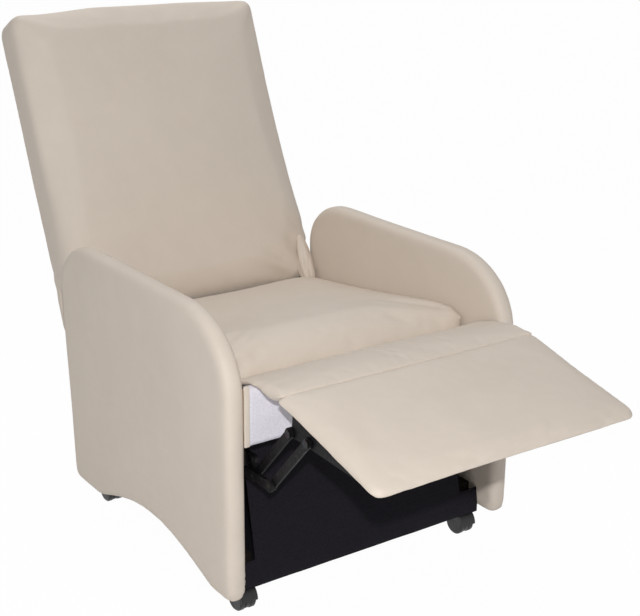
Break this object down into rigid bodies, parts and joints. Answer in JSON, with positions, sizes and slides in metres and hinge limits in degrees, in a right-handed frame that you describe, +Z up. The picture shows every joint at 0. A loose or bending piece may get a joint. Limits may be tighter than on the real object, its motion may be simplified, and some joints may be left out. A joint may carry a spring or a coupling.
{
  "type": "reclining reflexology chair",
  "caption": "Upholstered treatment recliner on casters with arched side panels, tilting backrest and a linkage footrest shown raised.",
  "frame": {"origin": "on the floor under the middle of the chair's box, with the footrest raised and the backrest as in the picture", "axes": "+X to the sitter's left (the picture's right), +Y towards the backrest, +Z up"},
  "size_m": [0.6298, 1.3091, 0.957],
  "materials": {
    "upholstery": "cream faux leather, fine grain, satin",
    "lining": "white non-woven lining",
    "black_cloth": "black dust cloth",
    "timber": "sawn softwood",
    "black_steel": "black painted steel",
    "zinc_steel": "zinc plated",
    "caster_nylon": "black nylon"
  },
  "bodies": {
    "base": {"side_panel_left": "upholstery", "side_panel_right": "upholstery", "front_rail": "timber", "rail_lining": "lining", "seat_rail_left": "timber", "seat_rail_right": "timber", "seat_rear_rail": "timber", "lower_front_rail": "timber", "lower_rear_rail": "timber", "seat_webbing": "black_cloth", "seat_cushion": "upholstery", "flap_root": "upholstery", "front_cover": "black_cloth", "rear_cover": "black_cloth", "dust_cloth": "black_cloth", "linkage_plate_left": "black_steel", "linkage_plate_right": "black_steel", "linkage_pins": "zinc_steel", "caster_blocks": "timber", "caster_sockets": "zinc_steel", "hinge_plate_left": "black_steel", "hinge_plate_right": "black_steel", "hinge_pins": "zinc_steel"},
    "backrest": {"back_frame": "timber", "back_cushion": "upholstery", "back_cover": "upholstery", "back_wing_left": "upholstery", "back_wing_right": "upholstery", "back_bracket_left": "black_steel", "back_bracket_right": "black_steel"},
    "crank": {"crank_left": "black_steel", "crank_right": "black_steel", "crank_pins": "zinc_steel"},
    "front_links": {"front_links": "black_steel"},
    "rear_links": {"rear_links": "black_steel"},
    "drive_links": {"drive_links": "black_steel", "drive_tube": "black_steel"},
    "flap": {"flap": "upholstery"},
    "footrest": {"footrest_board": "timber", "footrest_pad": "upholstery", "footrest_brackets": "black_steel", "bracket_pins": "zinc_steel"},
    "caster_front_left": {"caster_hood_front_left": "caster_nylon", "caster_stem_front_left": "zinc_steel"},
    "wheels_front_left": {"caster_wheels_front_left": "caster_nylon"},
    "caster_front_right": {"caster_hood_front_right": "caster_nylon", "caster_stem_front_right": "zinc_steel"},
    "wheels_front_right": {"caster_wheels_front_right": "caster_nylon"},
    "caster_rear_left": {"caster_hood_rear_left": "caster_nylon", "caster_stem_rear_left": "zinc_steel"},
    "wheels_rear_left": {"caster_wheels_rear_left": "caster_nylon"},
    "caster_rear_right": {"caster_hood_rear_right": "caster_nylon", "caster_stem_rear_right": "zinc_steel"},
    "wheels_rear_right": {"caster_wheels_rear_right": "caster_nylon"}
  },
  "joints": [
    {"name": "backrest_recline", "type": "hinge", "parent": "base", "child": "backrest", "pos_m": [0, 0.35705, 0.37289], "axis": [-1, 0, 0], "range_deg": [-13, 18]},
    {"name": "footrest_fold", "type": "hinge", "parent": "base", "child": "crank", "pos_m": [0, -0.19373, 0.272], "axis": [1, 0, 0], "range_deg": [0, 76]},
    {"name": "front_link_turn", "type": "hinge", "parent": "crank", "child": "front_links", "pos_m": [0, -0.35267, 0.27616], "axis": [1, 0, 0], "range_deg": [-109.5, 0]},
    {"name": "rear_link_turn", "type": "hinge", "parent": "crank", "child": "rear_links", "pos_m": [0, -0.30269, 0.27485], "axis": [1, 0, 0], "range_deg": [-109.5, 0]},
    {"name": "footrest_turn", "type": "hinge", "parent": "front_links", "child": "footrest", "pos_m": [0, -0.45237, 0.38689], "axis": [1, 0, 0], "range_deg": [0, 109.5]},
    {"name": "drive_link_turn", "type": "hinge", "parent": "base", "child": "drive_links", "pos_m": [0, -0.14549, 0.30323], "axis": [1, 0, 0], "range_deg": [0, 66]},
    {"name": "flap_turn", "type": "hinge", "parent": "base", "child": "flap", "pos_m": [0, -0.32073, 0.425], "axis": [1, 0, 0], "range_deg": [0, 93]},
    {"name": "caster_front_left_swivel", "type": "hinge", "parent": "base", "child": "caster_front_left", "pos_m": [-0.25, -0.24073, 0.023], "axis": [0, 0, 1], "continuous": true},
    {"name": "wheels_front_left_roll", "type": "hinge", "parent": "caster_front_left", "child": "wheels_front_left", "pos_m": [-0.25, -0.25473, 0.023], "axis": [1, 0, 0], "continuous": true},
    {"name": "caster_front_right_swivel", "type": "hinge", "parent": "base", "child": "caster_front_right", "pos_m": [0.25, -0.24073, 0.023], "axis": [0, 0, 1], "continuous": true},
    {"name": "wheels_front_right_roll", "type": "hinge", "parent": "caster_front_right", "child": "wheels_front_right", "pos_m": [0.25, -0.25473, 0.023], "axis": [1, 0, 0], "continuous": true},
    {"name": "caster_rear_left_swivel", "type": "hinge", "parent": "base", "child": "caster_rear_left", "pos_m": [-0.25, 0.23727, 0.023], "axis": [0, 0, 1], "continuous": true},
    {"name": "wheels_rear_left_roll", "type": "hinge", "parent": "caster_rear_left", "child": "wheels_rear_left", "pos_m": [-0.25, 0.25127, 0.023], "axis": [1, 0, 0], "continuous": true},
    {"name": "caster_rear_right_swivel", "type": "hinge", "parent": "base", "child": "caster_rear_right", "pos_m": [0.25, 0.23727, 0.023], "axis": [0, 0, 1], "continuous": true},
    {"name": "wheels_rear_right_roll", "type": "hinge", "parent": "caster_rear_right", "child": "wheels_rear_right", "pos_m": [0.25, 0.25127, 0.023], "axis": [1, 0, 0], "continuous": true}
  ],
  "couplings": [
    {"joint": "front_link_turn", "follows": "footrest_fold", "ratio": -1.4229},
    {"joint": "rear_link_turn", "follows": "footrest_fold", "ratio": -1.4229},
    {"joint": "footrest_turn", "follows": "footrest_fold", "ratio": 1.4229},
    {"joint": "drive_link_turn", "follows": "footrest_fold", "ratio": 0.86353},
    {"joint": "flap_turn", "follows": "footrest_fold", "ratio": 1.2105}
  ]
}
